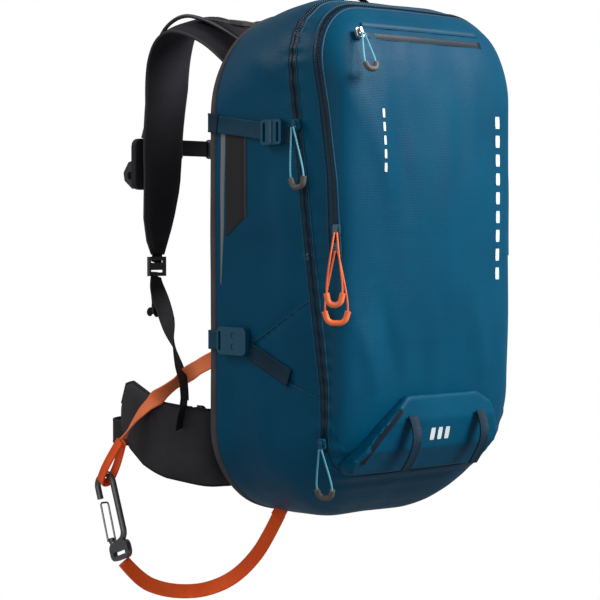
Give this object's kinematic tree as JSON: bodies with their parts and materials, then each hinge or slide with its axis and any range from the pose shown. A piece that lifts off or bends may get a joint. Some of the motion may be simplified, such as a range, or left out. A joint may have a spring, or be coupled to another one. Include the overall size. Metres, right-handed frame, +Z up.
{
  "type": "avalanche airbag backpack",
  "caption": "Ski-touring airbag backpack with fold-open front, padded shoulder straps and hip belt, release handle, and a leg strap with carabiner.",
  "frame": {"origin": "middle of the back panel's contact face, where the wearer's back touches it", "axes": "+Z up, +Y from the pack towards the wearer, -Y the outer front, -X the wearer's left"},
  "size_m": [0.3773, 0.4633, 0.7147],
  "materials": {
    "teal_fabric": "tight recycled nylon, slight sheen",
    "lining_fabric": "thin lining cloth",
    "airbag_fabric": "coated balloon cloth",
    "binding_fabric": "ribbed binding tape",
    "mesh_fabric": "elastic mesh",
    "padding_fabric": "matte padding cloth over foam",
    "black_webbing": "woven webbing",
    "teal_webbing": "woven webbing",
    "orange_webbing": "woven webbing",
    "black_plastic": "moulded",
    "grey_plastic": "moulded, satin",
    "teal_plastic": "moulded, glossy",
    "orange_plastic": "moulded, soft",
    "handle_plastic": "moulded grip",
    "bare_aluminium": "extruded bar",
    "grey_anodised": "forged, anodised",
    "bare_steel": "drawn wire",
    "cylinder_paint": "painted",
    "cable_jacket": "extruded jacket",
    "zip_tape": "coated zip tape",
    "zip_metal": "cast zip slider",
    "blue_cord": "braided cord",
    "orange_cord": "braided cord"
  },
  "bodies": {
    "pack": {"adjuster_straps": "black_webbing", "airbag_folded": "airbag_fabric", "back_pad": "padding_fabric", "back_sheet": "black_plastic", "carabiner_body": "grey_anodised", "compression_straps": "teal_webbing", "edge_binding": "binding_fabric", "frame_stays": "bare_aluminium", "gas_cylinder": "cylinder_paint", "handle_sleeve": "padding_fabric", "haul_loop": "black_webbing", "helmet_loop": "black_webbing", "hip_belt_left": "padding_fabric", "hip_belt_right": "padding_fabric", "hip_buckle_socket": "black_plastic", "hip_webbing": "black_webbing", "inflator_unit": "black_plastic", "leg_loop": "orange_webbing", "leg_strap_lower": "orange_webbing", "leg_strap_upper": "orange_webbing", "load_lifters": "black_webbing", "lower_side_buckles": "teal_plastic", "lumbar_pad": "padding_fabric", "main_zip_chain": "zip_tape", "rear_bag_shell": "teal_fabric", "release_cable": "cable_jacket", "shoulder_strap_left": "padding_fabric", "shoulder_strap_right": "padding_fabric", "side_mesh_pockets": "mesh_fabric", "strap_buckles": "grey_plastic"},
    "main_flap": {"main_flap_shell": "teal_fabric", "divider": "lining_fabric", "front_pocket": "teal_fabric", "axe_loops": "teal_webbing", "flap_zip_chain": "zip_tape"},
    "front_flap": {"front_flap_shell": "teal_fabric"},
    "carabiner_gate": {"carabiner_gate": "bare_steel"},
    "release_handle": {"release_handle": "handle_plastic"},
    "hip_prongs": {"hip_buckle_prongs": "black_plastic"},
    "sternum": {"sternum_strap": "black_webbing", "sternum_clips": "grey_plastic", "sternum_socket": "grey_plastic"},
    "sternum_prongs": {"sternum_prongs": "grey_plastic"},
    "lock_left": {"compression_lock_left": "teal_plastic"},
    "lock_right": {"compression_lock_right": "teal_plastic"},
    "main_upper_slider": {"main_upper_slider": "teal_plastic"},
    "main_upper_pull": {"main_upper_cord": "blue_cord", "main_upper_grip": "grey_plastic"},
    "main_lower_slider": {"main_lower_slider": "teal_plastic"},
    "main_lower_pull": {"main_lower_cord": "blue_cord", "main_lower_grip": "grey_plastic"},
    "safety_left_slider": {"safety_left_slider": "teal_plastic"},
    "safety_left_pull": {"safety_left_cord": "orange_cord", "safety_left_grip": "orange_plastic"},
    "safety_right_slider": {"safety_right_slider": "teal_plastic"},
    "safety_right_pull": {"safety_right_cord": "orange_cord", "safety_right_grip": "orange_plastic"},
    "top_pocket_slider": {"top_pocket_slider": "zip_metal"},
    "top_pocket_pull": {"top_pocket_cord": "blue_cord", "top_pocket_grip": "grey_plastic"}
  },
  "joints": [
    {"name": "main_flap_fold", "type": "hinge", "parent": "pack", "child": "main_flap", "pos_m": [0, -0.19, -0.241], "axis": [1, 0, 0], "range_deg": [0, 45]},
    {"name": "front_flap_fold", "type": "hinge", "parent": "main_flap", "child": "front_flap", "pos_m": [0, -0.2305, 0.004], "axis": [1, 0, 0], "range_deg": [0, 60]},
    {"name": "gate_swing", "type": "hinge", "parent": "pack", "child": "carabiner_gate", "pos_m": [-0.191, 0.12817, -0.3408], "axis": [1, 0, 0], "range_deg": [0, 20]},
    {"name": "release_pull", "type": "slide", "parent": "pack", "child": "release_handle", "axis": [0, 1, 0], "range_m": [0, 0.035]},
    {"name": "hip_buckle_release", "type": "slide", "parent": "pack", "child": "hip_prongs", "axis": [1, 0, 0], "range_m": [0, 0.03]},
    {"name": "sternum_height", "type": "slide", "parent": "pack", "child": "sternum", "axis": [0, 0, 1], "range_m": [-0.02, 0.02]},
    {"name": "sternum_release", "type": "slide", "parent": "sternum", "child": "sternum_prongs", "axis": [1, 0, 0], "range_m": [0, 0.018]},
    {"name": "lock_left_tilt", "type": "hinge", "parent": "pack", "child": "lock_left", "pos_m": [-0.161, -0.1445, 0.143], "axis": [0, 0, 1], "range_deg": [0, 35]},
    {"name": "lock_right_tilt", "type": "hinge", "parent": "pack", "child": "lock_right", "pos_m": [0.161, -0.1445, 0.143], "axis": [0, 0, 1], "range_deg": [-35, 0]},
    {"name": "main_upper_slide", "type": "slide", "parent": "pack", "child": "main_upper_slider", "axis": [-0.009, 0.134, 0.9909], "range_m": [-0.06, 0.06]},
    {"name": "main_upper_swing", "type": "hinge", "parent": "main_upper_slider", "child": "main_upper_pull", "pos_m": [-0.16476, -0.16688, 0.14851], "axis": [-0.0664, 0.9887, -0.1343], "range_deg": [0, 75]},
    {"name": "main_lower_slide", "type": "slide", "parent": "pack", "child": "main_lower_slider", "axis": [-0.25, -0.14, 0.9581], "range_m": [0, 0.03]},
    {"name": "main_lower_swing", "type": "hinge", "parent": "main_lower_slider", "child": "main_lower_pull", "pos_m": [-0.15248, -0.19695, -0.20488], "axis": [-0.4901, 0.8717, 0], "range_deg": [0, 80]},
    {"name": "safety_left_slide", "type": "slide", "parent": "main_flap", "child": "safety_left_slider", "axis": [0, 0, 1], "range_m": [0, 0.08]},
    {"name": "safety_left_swing", "type": "hinge", "parent": "safety_left_slider", "child": "safety_left_pull", "pos_m": [-0.14715, -0.21659, 0.0125], "axis": [-0.6073, 0.7944, 0], "range_deg": [0, 75]},
    {"name": "safety_right_slide", "type": "slide", "parent": "main_flap", "child": "safety_right_slider", "axis": [0, 0, 1], "range_m": [0, 0.08]},
    {"name": "safety_right_swing", "type": "hinge", "parent": "safety_right_slider", "child": "safety_right_pull", "pos_m": [-0.1476, -0.21599, 0.0325], "axis": [-0.6073, 0.7944, 0], "range_deg": [0, 75]},
    {"name": "top_pocket_slide", "type": "slide", "parent": "front_flap", "child": "top_pocket_slider", "axis": [0.9995, -0.03, 0], "range_m": [0, 0.06]},
    {"name": "top_pocket_swing", "type": "hinge", "parent": "top_pocket_slider", "child": "top_pocket_pull", "pos_m": [-0.11022, -0.21713, 0.25093], "axis": [-0.9744, 0.225, 0.0003], "range_deg": [0, 80]}
  ],
  "couplings": [
    {"joint": "safety_left_slide", "follows": "safety_right_slide", "ratio": 1},
    {"joint": "safety_left_swing", "follows": "safety_right_swing", "ratio": 1}
  ]
}
